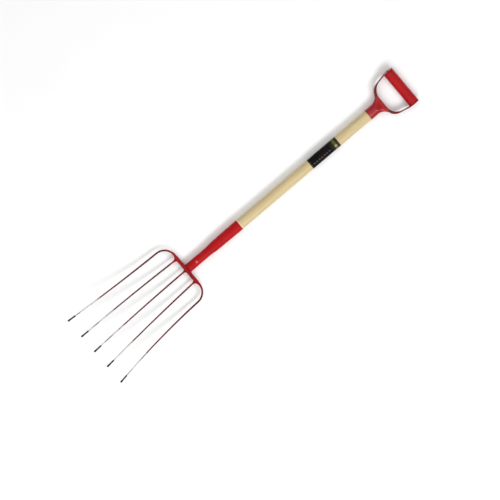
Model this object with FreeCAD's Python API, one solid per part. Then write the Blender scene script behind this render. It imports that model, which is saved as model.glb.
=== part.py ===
"""Five-tine farm fork: steel head, wooden shaft and a steel D-handle with a turning grip.

Millimetres. The shaft runs along X, with the grip towards +X and the tines towards -X. +Z is up: the
fork lies on its back, and the tines curve upwards. Right is +Y and left is -Y, as the person holding
the grip sees them. Pieces are drawn about the middle of the bridge bar, on the shaft's axis, and the
whole fork is then set down with the bottom centre of its box at the origin.
"""

import FreeCAD
import Part
import math
import os

from FreeCAD import Vector

# Bridge bar, which carries the tines
BRIDGE_LENGTH = 114.0
BRIDGE_WIDTH = 11.0
BRIDGE_DEPTH = 10.0
BRIDGE_END_WIDTH = 6.4
BRIDGE_END_TAPER = 10.0
BRIDGE_EDGE_RADIUS = 1.4
GUSSET_RADIUS = 4.0

# Tines
TINE_REACH = 357.5
TINE_BEND_RADIUS = 1020.0
TINE_TIP_STRAIGHT = 31.0
TINE_TIP_DIAMETER = 2.6
TINE_NECK_REACH = 245.0
TINE_NECK_DIAMETER = 4.1
TINE_POINT_LENGTH = 1.4
INNER_ROOT_WIDTH = 5.3
INNER_ROOT_DEPTH = 6.4
INNER_TINE_OFFSET = 42.6
INNER_TINE_SPLAY = 2.5
OUTER_ROOT_WIDTH = 5.8
OUTER_ROOT_DEPTH = 6.8
SHOULDER_RADIUS = 38.0
OUTER_TINE_SPLAY = 1.7
OUTER_TINE_SPREAD_RADIUS = 3570.0
ROOT_FLARE_LENGTH = 6.5
ROOT_FLARE_WIDTH = 5.0
ROOT_FLARE_MIDDLE_SHARE = 0.25
SHOULDER_STEPS = 6
BLADE_STEPS = 7

# Soft caps on the tips
CAP_LENGTH = 28.5
CAP_WALL = 0.87
CAP_BULB_SWELL = 0.5
CAP_END_WALL = 4.2
CAP_CLEARANCE = 0.25
CAP_BULB_LENGTH = 9.0
CAP_RIM_ROUNDING = 0.3
CAP_BULB_START_SHARE = 0.6
# Rounding of the closed end: distance back from it and radius, as shares of the bulb's radius
CAP_END_CURVE = ((0.5, 1.0), (0.13, 0.72), (0.0, 0.3))

# Socket, from the bridge to its mouth
SOCKET_LENGTH = 200.0
SOCKET_NECK_DIAMETER = 26.8
SOCKET_NECK_LENGTH = 72.0
SOCKET_SHOULDER_DIAMETER = 31.2
SOCKET_SHOULDER_LENGTH = 34.0
SOCKET_MOUTH_STEP = 0.7
SOCKET_WALL = 1.4
PLUG_COLLAR = 2.6
PLUG_DEPTH = 12.0
PLUG_CHAMFER = 1.0
SOCKET_RIVET_PLACE = 38.0
SOCKET_RIVET_DIAMETER = 4.4
SOCKET_RIVET_HEAD_DIAMETER = 7.0
SOCKET_RIVET_HEAD_HEIGHT = 1.9

# Wooden shaft
SHAFT_DIAMETER = 32.0
SHAFT_VISIBLE_LENGTH = 498.0
WOOD_CLEARANCE = 0.05
SHAFT_END_GAP = 1.0
SHAFT_TENON_LENGTH = 20.5

# Printed band round the shaft
LABEL_LENGTH = 107.0
LABEL_PLACE = 273.0
LABEL_THICKNESS = 0.25

# Yoke: ferrule, flare and arms
FERRULE_STEP = 1.2
FERRULE_LENGTH = 25.3
FERRULE_WALL = 1.4
FLARE_HOLLOW_RADIUS = 30.0
YOKE_CORNER_RADIUS = 33.6
YOKE_CORNER_OFFSET = 22.3
CROTCH_CORNER_RADIUS = 38.0
CROTCH_WALL = 3.0
CROTCH_SETBACK = 4.5
STRAP_OVERLAP = 1.0
FLARE_END_LIP = 0.55
FLARE_STEPS = 7
FLARE_EXTRA_SQUARENESS = 2.4
YOKE_BLOCK = 140.0
ARM_THICKNESS = 3.0
ARM_DEPTH = 17.5
ARM_BEND_GAP = 1.0
EYE_DIAMETER = 34.4
EYE_TAPER_LENGTH = 34.0
SCREW_PLACE = 13.0
SCREW_SHANK_DIAMETER = 3.0
SCREW_HEAD_DIAMETER = 6.0
SCREW_LENGTH = 15.0
SCREW_POINT_LENGTH = 6.0
SCREW_POINT_SHARE = 0.2
SCREW_MOUTH_DEPTH = 0.3

# Grip
GRIP_PLACE = 127.0
GRIP_DIAMETER = 32.6
GRIP_INNER_LENGTH = 119.0
GRIP_END_GAP = 0.5
GRIP_WALL = 3.0
GRIP_EDGE_RADIUS = 1.5
GRIP_PLUG_LENGTH = 14.0
SPACER_WALL = 2.2
SPACER_PLAY = 0.3
RUNNING_CLEARANCE = 0.05
ROD_DIAMETER = 7.0
ROD_CLEARANCE = 0.1
ROD_HEAD_DIAMETER = 9.0
ROD_HEAD_HEIGHT = 2.3

# Domed rivet heads: height and radius of the dome's corners, as shares of the head's own
DOME = ((0.35, 0.94), (0.78, 0.68), (1.0, 0.3))

# Section outlines: an ellipse has squareness 2, and more is nearer to a rounded rectangle
ELLIPSE = 2.0
SECTION_CORNERS = 16
FLARE_CORNERS = 24

# Rounds that settle a curve's end on its mark, and how near counts as on an edge
SETTLING_ROUNDS = 20
NEAR = 0.01

# Sizes that follow from the fits
SOCKET_MOUTH_DIAMETER = SHAFT_DIAMETER + 2 * SOCKET_MOUTH_STEP
FERRULE_DIAMETER = SHAFT_DIAMETER + 2 * FERRULE_STEP
SPACER_BORE = ROD_DIAMETER + 2 * SPACER_PLAY
SPACER_DIAMETER = SPACER_BORE + 2 * SPACER_WALL

# Places along the shaft, from the middle of the bridge bar
SOCKET_START = BRIDGE_WIDTH / 2 + PLUG_COLLAR
SOCKET_MOUTH = SOCKET_START + SOCKET_LENGTH - PLUG_COLLAR
FERRULE_START = SOCKET_MOUTH + SHAFT_VISIBLE_LENGTH
FLARE_START = FERRULE_START + FERRULE_LENGTH
GRIP_CENTRE = FERRULE_START + GRIP_PLACE
LABEL_START = SOCKET_MOUTH + LABEL_PLACE

SIDES = {"right": 1, "left": -1}
AXIS = Vector(1, 0, 0)
ACROSS = Vector(0, 1, 0)
UP = Vector(0, 0, 1)


# Small drawing helpers

def line(a, b):
    return Part.LineSegment(a, b).toShape()


def arc(centre, radius, start_deg, middle_deg, end_deg, place):
    """An arc about centre, drawn through three bearings; place turns plan coordinates into points."""
    points = []
    for bearing in (start_deg, middle_deg, end_deg):
        turn = math.radians(bearing)
        points.append(place(centre[0] + radius * math.cos(turn), centre[1] + radius * math.sin(turn)))
    return Part.Arc(*points).toShape()


def turned(profile, base, direction):
    """Solid of revolution from (distance along direction, radius) corners, closed on the axis."""
    side = ACROSS if abs(direction.dot(ACROSS)) < 0.9 else AXIS
    side = side - direction * side.dot(direction)
    side.normalize()
    points = [base + direction * along + side * radius for along, radius in profile]
    face = Part.Face(Part.makePolygon(points + [points[0]]))
    return face.revolve(base, direction, 360)


def tube_along(start, length, outer_diameter, inner_diameter, direction):
    outer = Part.makeCylinder(outer_diameter / 2, length, start, direction)
    inner = Part.makeCylinder(inner_diameter / 2, length, start, direction)
    return outer.cut(inner)


def oval(centre, across, up, half_width, half_depth, squareness=ELLIPSE, corners=SECTION_CORNERS):
    """Closed smooth wire through the corners of an ellipse or of a squarer outline."""
    points = []
    for i in range(corners):
        turn = 2 * math.pi * i / corners
        c, s = math.cos(turn), math.sin(turn)
        x = math.copysign(abs(c) ** (2 / squareness), c) * half_width
        y = math.copysign(abs(s) ** (2 / squareness), s) * half_depth
        points.append(centre + across * x + up * y)
    curve = Part.BSplineCurve()
    curve.interpolate(points, PeriodicFlag=True)
    return Part.Wire(curve.toShape())


# Tines

def dish(x):
    """Height and slope of the tines' common curve at x."""
    root = math.sqrt(TINE_BEND_RADIUS ** 2 - x ** 2)
    return TINE_BEND_RADIUS - root, x / root


def on_dish(x, y, dx, dy):
    """Point and direction on the dish above the plan point and plan direction."""
    height, slope = dish(x)
    direction = Vector(dx, dy, slope * dx)
    direction.normalize()
    return Vector(x, y, height), direction


def tine_width(reach, root_width):
    """Width at a distance from the bridge: an even taper to the neck, then another to the tip."""
    if reach < TINE_NECK_REACH:
        share = reach / TINE_NECK_REACH
        return root_width + (TINE_NECK_DIAMETER - root_width) * share
    share = (reach - TINE_NECK_REACH) / (TINE_REACH - TINE_NECK_REACH)
    return TINE_NECK_DIAMETER + (TINE_TIP_DIAMETER - TINE_NECK_DIAMETER) * share


def tine_depth(reach, root_width, root_depth):
    """Depth is the width times a ratio that falls to 1 at the neck, where the tine is round."""
    share = min(reach / TINE_NECK_REACH, 1.0)
    ratio = root_depth / root_width
    return tine_width(reach, root_width) * (ratio + (1.0 - ratio) * share)


def bend_end():
    """Distance from the bridge where the curve ends and the straight tip starts."""
    reach = TINE_REACH
    for _ in range(SETTLING_ROUNDS):
        slope = dish(-reach)[1]
        reach = TINE_REACH - TINE_TIP_STRAIGHT / math.sqrt(1 + slope ** 2)
    return reach


def inner_path(offset, splay_deg):
    """Plan points and directions of a straight-rooted tine, from the bridge's face to the bend's end."""
    slope = math.tan(math.radians(splay_deg))
    start = BRIDGE_WIDTH / 2
    reaches = [start, start + ROOT_FLARE_LENGTH / 2, start + ROOT_FLARE_LENGTH]
    last = bend_end()
    for i in range(1, BLADE_STEPS + 1):
        reaches.append(reaches[2] + (last - reaches[2]) * i / BLADE_STEPS)
    return [(-reach, offset + slope * reach, -1.0, slope) for reach in reaches]


def outer_path():
    """Plan points and directions of an outer tine: bar end, rounded shoulder, then a wide curve."""
    middle = (BRIDGE_WIDTH - BRIDGE_END_WIDTH) / 4
    start = BRIDGE_LENGTH / 2
    path = []
    for i in range(SHOULDER_STEPS + 1):
        turn = math.radians((90 - OUTER_TINE_SPLAY) * i / SHOULDER_STEPS)
        x = middle - SHOULDER_RADIUS * (1 - math.cos(turn))
        y = start + SHOULDER_RADIUS * math.sin(turn)
        path.append((x, y, -math.sin(turn), math.cos(turn)))
    x0, y0, dx, dy = path[-1]
    length = (bend_end() + x0) / math.cos(math.radians(OUTER_TINE_SPLAY))
    for _ in range(SETTLING_ROUNDS):
        swing = length / OUTER_TINE_SPREAD_RADIUS
        end = x0 + OUTER_TINE_SPREAD_RADIUS * (math.sin(swing) * dx + (1 - math.cos(swing)) * dy)
        length += end + bend_end()
    for i in range(1, BLADE_STEPS + 1):
        swing = length / OUTER_TINE_SPREAD_RADIUS * i / BLADE_STEPS
        run = OUTER_TINE_SPREAD_RADIUS * math.sin(swing)
        drift = OUTER_TINE_SPREAD_RADIUS * (1 - math.cos(swing))
        path.append((
            x0 + run * dx + drift * dy,
            y0 + run * dy - drift * dx,
            dx * math.cos(swing) + dy * math.sin(swing),
            dy * math.cos(swing) - dx * math.sin(swing),
        ))
    return path


def tip_line(path):
    """Start and direction of the straight tip that follows the last point of a path."""
    return on_dish(*path[-1])


def tine_section(place, root_width, root_depth, extra_width=0.0, direction=None):
    """Oval section of a tine at a plan place, square to the dish unless a direction is given."""
    centre, along = on_dish(*place)
    reach = max(-place[0], 0.0)
    width = tine_width(reach, root_width) + extra_width
    depth = tine_depth(reach, root_width, root_depth)
    return section_wire(centre, direction or along, width, depth)


def section_wire(centre, direction, width, depth):
    across = UP.cross(direction)
    across.normalize()
    return oval(centre, across, direction.cross(across), width / 2, depth / 2)


def joined_lofts(stretches):
    """One solid from lofts that share their end sections."""
    solids = [Part.makeLoft(wires, True, False) for wires in stretches]
    return solids[0].fuse(solids[1:])


def tip_wires(path, root_width, root_depth):
    """Sections of the straight, tapered tip and its short blunt point."""
    start, direction = tip_line(path)
    shoulder = start + direction * (TINE_TIP_STRAIGHT - TINE_POINT_LENGTH)
    end = start + direction * TINE_TIP_STRAIGHT
    blunt = TINE_TIP_DIAMETER / 2
    wide = section_wire(shoulder, direction, TINE_TIP_DIAMETER, TINE_TIP_DIAMETER)
    return [
        [tine_section(path[-1], root_width, root_depth), wide],
        [wide, section_wire(end, direction, blunt, blunt)],
    ]


def straight_rooted_tine(path):
    """Inner or middle tine, flared where it meets the bridge's face."""
    size = (INNER_ROOT_WIDTH, INNER_ROOT_DEPTH)
    square = Vector(-1, 0, 0)
    flare = [
        tine_section(path[0], *size, extra_width=ROOT_FLARE_WIDTH, direction=square),
        tine_section(path[1], *size, extra_width=ROOT_FLARE_WIDTH * ROOT_FLARE_MIDDLE_SHARE),
        tine_section(path[2], *size),
    ]
    blade = [tine_section(place, *size) for place in path[2:]]
    return joined_lofts([flare, blade] + tip_wires(path, *size))


def shouldered_tine(path):
    """Outer tine, which leaves the end of the bridge sideways and turns through its shoulder."""
    size = (OUTER_ROOT_WIDTH, OUTER_ROOT_DEPTH)
    bend = [tine_section(place, *size) for place in path[:SHOULDER_STEPS + 1]]
    bend[0] = tine_section(path[0], *size, direction=ACROSS)
    blade = [tine_section(place, *size) for place in path[SHOULDER_STEPS:]]
    return joined_lofts([bend, blade] + tip_wires(path, *size))


def mirrored(shape, side):
    return shape if side > 0 else shape.mirror(Vector(0, 0, 0), ACROSS)


def tine_plans():
    """Name, path and side of each tine; the middle one lies on the axis."""
    plans = {"middle": (inner_path(0.0, 0.0), 1)}
    for label, side in SIDES.items():
        plans["inner_" + label] = (inner_path(INNER_TINE_OFFSET, INNER_TINE_SPLAY), side)
        plans["outer_" + label] = (outer_path(), side)
    return plans


def make_tine(name, path, side):
    draw = shouldered_tine if name.startswith("outer") else straight_rooted_tine
    return mirrored(draw(path), side)


def make_cap(path, side):
    """Soft cap: thin sleeve with a bulbous closed end, its bore following the tip's taper."""
    start, direction = tip_line(path)
    bottom = TINE_TIP_STRAIGHT + CAP_CLEARANCE
    end = bottom + CAP_END_WALL
    mouth = end - CAP_LENGTH
    neck = tine_width(bend_end(), INNER_ROOT_WIDTH)
    mouth_bore = neck / 2 + CAP_CLEARANCE
    deep_bore = TINE_TIP_DIAMETER / 2 + CAP_CLEARANCE
    rim = mouth_bore + CAP_WALL
    bulb = rim + CAP_BULB_SWELL
    profile = [
        (mouth, mouth_bore), (mouth, rim - CAP_RIM_ROUNDING), (mouth + CAP_RIM_ROUNDING, rim),
        (end - CAP_BULB_LENGTH, rim), (end - CAP_BULB_LENGTH * CAP_BULB_START_SHARE, bulb),
    ]
    profile += [(end - bulb * back, bulb * share) for back, share in CAP_END_CURVE]
    profile += [(end, 0), (bottom, 0), (bottom, deep_bore)]
    return mirrored(turned(profile, start, direction), side)


# Bridge and socket

def make_bridge():
    """Bar along Y that narrows at its ends, with small gussets beside the socket."""
    half = BRIDGE_LENGTH / 2
    face = BRIDGE_WIDTH / 2
    taper = half - BRIDGE_END_TAPER
    middle = (BRIDGE_WIDTH - BRIDGE_END_WIDTH) / 4
    end_near = middle + BRIDGE_END_WIDTH / 2
    end_far = middle - BRIDGE_END_WIDTH / 2
    neck = SOCKET_NECK_DIAMETER / 2
    gusset = neck + GUSSET_RADIUS
    inside = neck - GUSSET_RADIUS
    edges = []
    for side in (1, -1):
        def at(x, y):
            return Vector(x, y * side, 0)
        edges.append(line(at(face, 0), at(face, inside)))
        edges.append(line(at(face, inside), at(face + GUSSET_RADIUS, inside)))
        edges.append(line(at(face + GUSSET_RADIUS, inside), at(face + GUSSET_RADIUS, neck)))
        edges.append(arc((face + GUSSET_RADIUS, gusset), GUSSET_RADIUS, 270, 225, 180, at))
        edges.append(line(at(face, gusset), at(face, taper)))
        edges.append(line(at(face, taper), at(end_near, half)))
        edges.append(line(at(end_near, half), at(end_far, half)))
        edges.append(line(at(end_far, half), at(-face, taper)))
        edges.append(line(at(-face, taper), at(-face, 0)))
    outline = Part.Wire(Part.__sortEdges__(edges))
    bar = Part.Face(outline).extrude(UP * BRIDGE_DEPTH)
    bar.translate(UP * -BRIDGE_DEPTH / 2)
    long_edges = [e for e in bar.Edges if abs(abs(e.BoundBox.Center.z) - BRIDGE_DEPTH / 2) < NEAR]
    rims = [e for e in long_edges if e.BoundBox.XMax < face + NEAR and e.Length > BRIDGE_END_WIDTH + NEAR]
    bar = bar.makeFillet(BRIDGE_EDGE_RADIUS, rims)
    seat = Part.makeCylinder(neck, GUSSET_RADIUS * 3, AXIS * face, AXIS)
    return bar.cut(seat)


def make_neck_plug():
    """Forged plug: a collar flush with the socket, on the bridge, and a spigot inside the socket."""
    collar = SOCKET_NECK_DIAMETER / 2
    spigot = collar - SOCKET_WALL
    profile = [
        (0, 0), (0, collar - PLUG_CHAMFER), (PLUG_CHAMFER, collar), (PLUG_COLLAR, collar),
        (PLUG_COLLAR, spigot), (PLUG_COLLAR + PLUG_DEPTH, spigot), (PLUG_COLLAR + PLUG_DEPTH, 0),
    ]
    return turned(profile, AXIS * (BRIDGE_WIDTH / 2), AXIS)


def socket_line(inset):
    """The socket's side, inset by a wall or a fit: straight neck, rounded shoulder, slight taper."""
    neck = SOCKET_NECK_DIAMETER / 2
    shoulder = SOCKET_SHOULDER_DIAMETER / 2
    mouth = SOCKET_MOUTH_DIAMETER / 2
    start = SOCKET_START + SOCKET_NECK_LENGTH
    end = start + SOCKET_SHOULDER_LENGTH
    swell = Part.BSplineCurve()
    swell.interpolate(
        [Vector(start, neck - inset, 0), Vector(end, shoulder - inset, 0)],
        Tangents=[AXIS, Vector(SOCKET_MOUTH - end, mouth - shoulder, 0)],
        TangentFlags=[True, True],
    )
    return [
        line(Vector(SOCKET_START, neck - inset, 0), Vector(start, neck - inset, 0)),
        swell.toShape(),
        line(Vector(end, shoulder - inset, 0), Vector(SOCKET_MOUTH, mouth - inset, 0)),
    ]


def revolved_on_axis(edges):
    return Part.Face(Part.Wire(Part.__sortEdges__(edges))).revolve(Vector(0, 0, 0), AXIS, 360)


def rivet_hole(diameter):
    drill = SOCKET_NECK_DIAMETER * 2
    return Part.makeCylinder(diameter / 2, drill, Vector(SOCKET_RIVET_PLACE, 0, -drill / 2), UP)


def make_socket():
    """Rolled sheet socket, open at both ends and drilled for its rivet."""
    outside = socket_line(0)
    inside = socket_line(SOCKET_WALL)
    neck = SOCKET_NECK_DIAMETER / 2
    mouth = SOCKET_MOUTH_DIAMETER / 2
    ends = [
        line(Vector(SOCKET_START, neck, 0), Vector(SOCKET_START, neck - SOCKET_WALL, 0)),
        line(Vector(SOCKET_MOUTH, mouth, 0), Vector(SOCKET_MOUTH, mouth - SOCKET_WALL, 0)),
    ]
    return revolved_on_axis(outside + inside + ends).cut(rivet_hole(SOCKET_RIVET_DIAMETER))


def domed_pin(diameter, head_diameter, head_height, grip_length, centre, direction):
    """Rivet with a domed head at both ends, its grip length centred on a point."""
    half = grip_length / 2
    shank = diameter / 2
    head = head_diameter / 2
    dome = [(half + head_height * rise, head * share) for rise, share in DOME]
    far_end = [(half, shank), (half, head)] + dome + [(half + head_height, 0)]
    near_end = [(-along, radius) for along, radius in reversed(far_end)]
    return turned(near_end + far_end, centre, direction)


def make_socket_rivet():
    return domed_pin(
        SOCKET_RIVET_DIAMETER, SOCKET_RIVET_HEAD_DIAMETER, SOCKET_RIVET_HEAD_HEIGHT,
        SOCKET_NECK_DIAMETER, AXIS * SOCKET_RIVET_PLACE, UP,
    )


# Shaft and label

def make_shaft():
    """Ash pole: shaped to the socket's inside at one end, with a tapered tenon in the yoke."""
    fit = SOCKET_WALL + WOOD_CLEARANCE
    start = SOCKET_START + PLUG_DEPTH + SHAFT_END_GAP
    neck = SOCKET_NECK_DIAMETER / 2 - fit
    side = socket_line(fit)
    side[0] = line(Vector(start, neck, 0), side[0].Vertexes[-1].Point)
    mouth = SOCKET_MOUTH_DIAMETER / 2 - fit
    pole = SHAFT_DIAMETER / 2
    seat = FERRULE_DIAMETER / 2 - FERRULE_WALL - WOOD_CLEARANCE
    tenon_end = FLARE_START + SHAFT_TENON_LENGTH
    tenon = flare_half_depth(tenon_end) - FERRULE_WALL - SHAFT_END_GAP
    corners = [
        (SOCKET_MOUTH, mouth), (SOCKET_MOUTH, pole), (FERRULE_START, pole), (FERRULE_START, seat),
        (FLARE_START, seat), (tenon_end, tenon), (tenon_end, 0), (start, 0), (start, neck),
    ]
    points = [Vector(x, radius, 0) for x, radius in corners]
    rest = [line(a, b) for a, b in zip(points, points[1:])]
    pole_solid = revolved_on_axis(side + rest)
    pole_solid = pole_solid.cut(rivet_hole(SOCKET_RIVET_DIAMETER))
    for screw in screws():
        pole_solid = pole_solid.cut(screw)
    return pole_solid


def make_label():
    outer = SHAFT_DIAMETER + 2 * LABEL_THICKNESS
    return tube_along(AXIS * LABEL_START, LABEL_LENGTH, outer, SHAFT_DIAMETER, AXIS)


# Yoke

def yoke_corner():
    """Plan centre of the rounded outer corner between the flare and an arm."""
    hollow_y = FERRULE_DIAMETER / 2 + FLARE_HOLLOW_RADIUS
    rise = hollow_y - YOKE_CORNER_OFFSET
    run = math.sqrt((FLARE_HOLLOW_RADIUS + YOKE_CORNER_RADIUS) ** 2 - rise ** 2)
    return FLARE_START + run, YOKE_CORNER_OFFSET


def flare_half_width(x):
    """Plan outline of the flare: a hollow curve off the ferrule that turns into the round corner."""
    corner_x, corner_y = yoke_corner()
    hollow_y = FERRULE_DIAMETER / 2 + FLARE_HOLLOW_RADIUS
    share = FLARE_HOLLOW_RADIUS / (FLARE_HOLLOW_RADIUS + YOKE_CORNER_RADIUS)
    join = FLARE_START + (corner_x - FLARE_START) * share
    if x < join:
        return hollow_y - math.sqrt(FLARE_HOLLOW_RADIUS ** 2 - (x - FLARE_START) ** 2)
    return corner_y + math.sqrt(YOKE_CORNER_RADIUS ** 2 - (corner_x - x) ** 2)


def crotch_back():
    """Place of the crotch wall's hidden face, where the flare ends."""
    return yoke_corner()[0] - YOKE_CORNER_RADIUS + CROTCH_SETBACK


def flare_share(x):
    return (x - FLARE_START) / (crotch_back() - FLARE_START)


def flare_half_depth(x):
    """The flare gets shallower from the ferrule to the crotch, with a smooth start and end."""
    share = flare_share(x)
    smooth = share * share * (3 - 2 * share)
    end = ARM_DEPTH / 2 + FLARE_END_LIP
    return FERRULE_DIAMETER / 2 + (end - FERRULE_DIAMETER / 2) * smooth


def flare_section(x, inset):
    """Closed outline across the flare, or across the round ferrule at the flare's start."""
    squareness = ELLIPSE + FLARE_EXTRA_SQUARENESS * flare_share(x) ** 2
    half_width = flare_half_width(x) - inset
    half_depth = flare_half_depth(x) - inset
    return oval(AXIS * x, ACROSS, UP, half_width, half_depth, squareness, FLARE_CORNERS)


def ferrule_and_flare(inset):
    """Solid from the round ferrule to the wide, flat crotch, made smaller all round by an inset."""
    step = (crotch_back() - FLARE_START) / FLARE_STEPS
    wires = [flare_section(FLARE_START + step * i, inset) for i in range(FLARE_STEPS + 1)]
    ferrule = Part.Face(wires[0]).extrude(AXIS * -FERRULE_LENGTH)
    return ferrule.fuse(Part.makeLoft(wires, True, False))


def strap_outline(side):
    """Half of the strap in plan: crotch wall, corner, arm and the flat eye beside the grip."""
    corner_x, corner_y = yoke_corner()
    back = crotch_back()
    front = back + CROTCH_WALL
    outer_y = GRIP_INNER_LENGTH / 2 + ARM_THICKNESS
    inner_y = GRIP_INNER_LENGTH / 2
    eye_end = GRIP_CENTRE + EYE_DIAMETER / 2
    outer_bend = GRIP_CENTRE - GRIP_DIAMETER / 2 - ARM_BEND_GAP
    run, rise = outer_bend - corner_x, outer_y - corner_y
    splay = math.atan2(rise, run) + math.acos(YOKE_CORNER_RADIUS / math.hypot(run, rise)) - math.pi / 2
    slope = math.tan(splay)

    start_bearing = 180 - math.degrees(math.acos((corner_x - back) / YOKE_CORNER_RADIUS))
    end_bearing = 90 + math.degrees(splay)
    outer_leave = (
        corner_x - YOKE_CORNER_RADIUS * math.sin(splay),
        corner_y + YOKE_CORNER_RADIUS * math.cos(splay),
    )
    inner_bend = outer_bend - ARM_THICKNESS * math.tan(splay / 2)
    crotch_x = front + CROTCH_CORNER_RADIUS
    reach = inner_y - (inner_bend - crotch_x) * slope
    crotch_y = reach - CROTCH_CORNER_RADIUS / math.cos(splay)
    inner_leave = (
        crotch_x - CROTCH_CORNER_RADIUS * math.sin(splay),
        crotch_y + CROTCH_CORNER_RADIUS * math.cos(splay),
    )

    def at(x, y):
        return Vector(x, y * side, 0)

    return [
        line(at(back, 0), at(back, flare_half_width(back))),
        arc((corner_x, corner_y), YOKE_CORNER_RADIUS,
            start_bearing, (start_bearing + end_bearing) / 2, end_bearing, at),
        line(at(*outer_leave), at(outer_bend, outer_y)),
        line(at(outer_bend, outer_y), at(eye_end, outer_y)),
        line(at(eye_end, outer_y), at(eye_end, inner_y)),
        line(at(eye_end, inner_y), at(inner_bend, inner_y)),
        line(at(inner_bend, inner_y), at(*inner_leave)),
        arc((crotch_x, crotch_y), CROTCH_CORNER_RADIUS, end_bearing, (end_bearing + 180) / 2, 180, at),
        line(at(front, crotch_y), at(front, 0)),
        line(at(front, 0), at(back, 0)),
    ]


def strap_side_view():
    """Side outline of the strap: even depth, then a taper that meets the round eye at a tangent."""
    half = ARM_DEPTH / 2
    eye = EYE_DIAMETER / 2
    taper_start = GRIP_CENTRE - EYE_TAPER_LENGTH
    distance = math.hypot(EYE_TAPER_LENGTH, half)
    lift = math.asin(eye / distance) - math.atan2(half, EYE_TAPER_LENGTH)
    reach = math.sqrt(distance ** 2 - eye ** 2)
    touch_x = taper_start + reach * math.cos(lift)
    touch_z = half + reach * math.sin(lift)
    start = crotch_back() - STRAP_OVERLAP

    def at(x, z):
        return Vector(x, 0, z)

    wire = Part.Wire([
        line(at(start, half), at(taper_start, half)),
        line(at(taper_start, half), at(touch_x, touch_z)),
        Part.Arc(at(touch_x, touch_z), at(GRIP_CENTRE + eye, 0), at(touch_x, -touch_z)).toShape(),
        line(at(touch_x, -touch_z), at(taper_start, -half)),
        line(at(taper_start, -half), at(start, -half)),
        line(at(start, -half), at(start, half)),
    ])
    return Part.Face(wire)


def strap_half(side):
    """One arm with its half of the crotch wall and its eye."""
    plan = Part.Face(Part.Wire(Part.__sortEdges__(strap_outline(side))))
    block = plan.extrude(UP * EYE_DIAMETER)
    block.translate(UP * -EYE_DIAMETER / 2)
    width = GRIP_INNER_LENGTH + 4 * ARM_THICKNESS
    side_view = strap_side_view().extrude(ACROSS * width)
    side_view.translate(ACROSS * -width / 2)
    return block.common(side_view)


def screws():
    """Countersunk screws that hold the ferrule to the shaft, one from each side."""
    head = SCREW_HEAD_DIAMETER / 2
    shank = SCREW_SHANK_DIAMETER / 2
    face = FERRULE_DIAMETER / 2 - head ** 2 / FERRULE_DIAMETER
    sink = head - shank
    profile = [
        (0, 0), (0, head), (sink, shank), (SCREW_LENGTH - SCREW_POINT_LENGTH, shank),
        (SCREW_LENGTH, shank * SCREW_POINT_SHARE), (SCREW_LENGTH, 0),
    ]
    place = FERRULE_START + SCREW_PLACE
    return [turned(profile, Vector(place, face * side, 0), ACROSS * -side) for side in SIDES.values()]


def make_yoke_half(side):
    """Half of the pressed yoke: half the ferrule and flare, welded to the other half along the top."""
    corner = Vector(FERRULE_START, 0 if side > 0 else -YOKE_BLOCK, -YOKE_BLOCK / 2)
    keep = Part.makeBox(YOKE_BLOCK * 2, YOKE_BLOCK, YOKE_BLOCK, corner)
    shell = ferrule_and_flare(0).cut(ferrule_and_flare(FERRULE_WALL)).common(keep)
    half = shell.fuse(strap_half(side))
    for screw in screws():
        half = half.cut(screw)
    head = SCREW_HEAD_DIAMETER / 2
    mouth_start = Vector(FERRULE_START + SCREW_PLACE, side * (FERRULE_DIAMETER / 2 - SCREW_MOUTH_DEPTH), 0)
    mouth = Part.makeCylinder(head, head, mouth_start, ACROSS * side)
    rod_start = Vector(GRIP_CENTRE, -YOKE_BLOCK, 0)
    rod_hole = Part.makeCylinder(ROD_DIAMETER / 2 + ROD_CLEARANCE, YOKE_BLOCK * 2, rod_start, ACROSS)
    return half.cut(mouth).cut(rod_hole)


# Grip

def make_grip_rod():
    grip_length = GRIP_INNER_LENGTH + 2 * ARM_THICKNESS
    return domed_pin(
        ROD_DIAMETER, ROD_HEAD_DIAMETER, ROD_HEAD_HEIGHT, grip_length, AXIS * GRIP_CENTRE, ACROSS,
    )


def make_grip_spacer():
    """Tube between the eyes, which keeps the riveted rod from clamping the barrel."""
    start = Vector(GRIP_CENTRE, -GRIP_INNER_LENGTH / 2, 0)
    return tube_along(start, GRIP_INNER_LENGTH, SPACER_DIAMETER, SPACER_BORE, ACROSS)


def make_grip_barrel():
    """Hollow barrel with softened ends."""
    half = GRIP_INNER_LENGTH / 2 - GRIP_END_GAP
    outer = GRIP_DIAMETER / 2
    inner = outer - GRIP_WALL
    centre = AXIS * GRIP_CENTRE
    barrel = Part.makeCylinder(outer, half * 2, centre - ACROSS * half, ACROSS)
    barrel = barrel.makeFillet(GRIP_EDGE_RADIUS, [e for e in barrel.Edges if e.Closed])
    return barrel.cut(Part.makeCylinder(inner, half * 2, centre - ACROSS * half, ACROSS))


def make_grip_plugs():
    """End plugs pressed into the barrel, which run on the spacer tube."""
    half = GRIP_INNER_LENGTH / 2 - GRIP_END_GAP
    bore = SPACER_DIAMETER + 2 * RUNNING_CLEARANCE
    outer = GRIP_DIAMETER - 2 * GRIP_WALL
    plugs = []
    for side in SIDES.values():
        start = Vector(GRIP_CENTRE, half * side, 0)
        plugs.append(tube_along(start, GRIP_PLUG_LENGTH, outer, bore, ACROSS * -side))
    return Part.makeCompound(plugs)


# The whole fork

def make_parts():
    parts = {"bridge": make_bridge()}
    for name, (path, side) in tine_plans().items():
        parts["tine_" + name] = make_tine(name, path, side)
        parts["tip_cap_" + name] = make_cap(path, side)
    parts["neck_plug"] = make_neck_plug()
    parts["socket"] = make_socket()
    parts["socket_rivet"] = make_socket_rivet()
    parts["shaft"] = make_shaft()
    parts["shaft_label"] = make_label()
    for label, side in SIDES.items():
        parts["yoke_" + label] = make_yoke_half(side)
    parts["ferrule_screws"] = Part.makeCompound(screws())
    parts["grip_rod"] = make_grip_rod()
    parts["grip_spacer"] = make_grip_spacer()
    parts["grip_barrel"] = make_grip_barrel()
    parts["grip_plugs"] = make_grip_plugs()
    return parts


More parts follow.
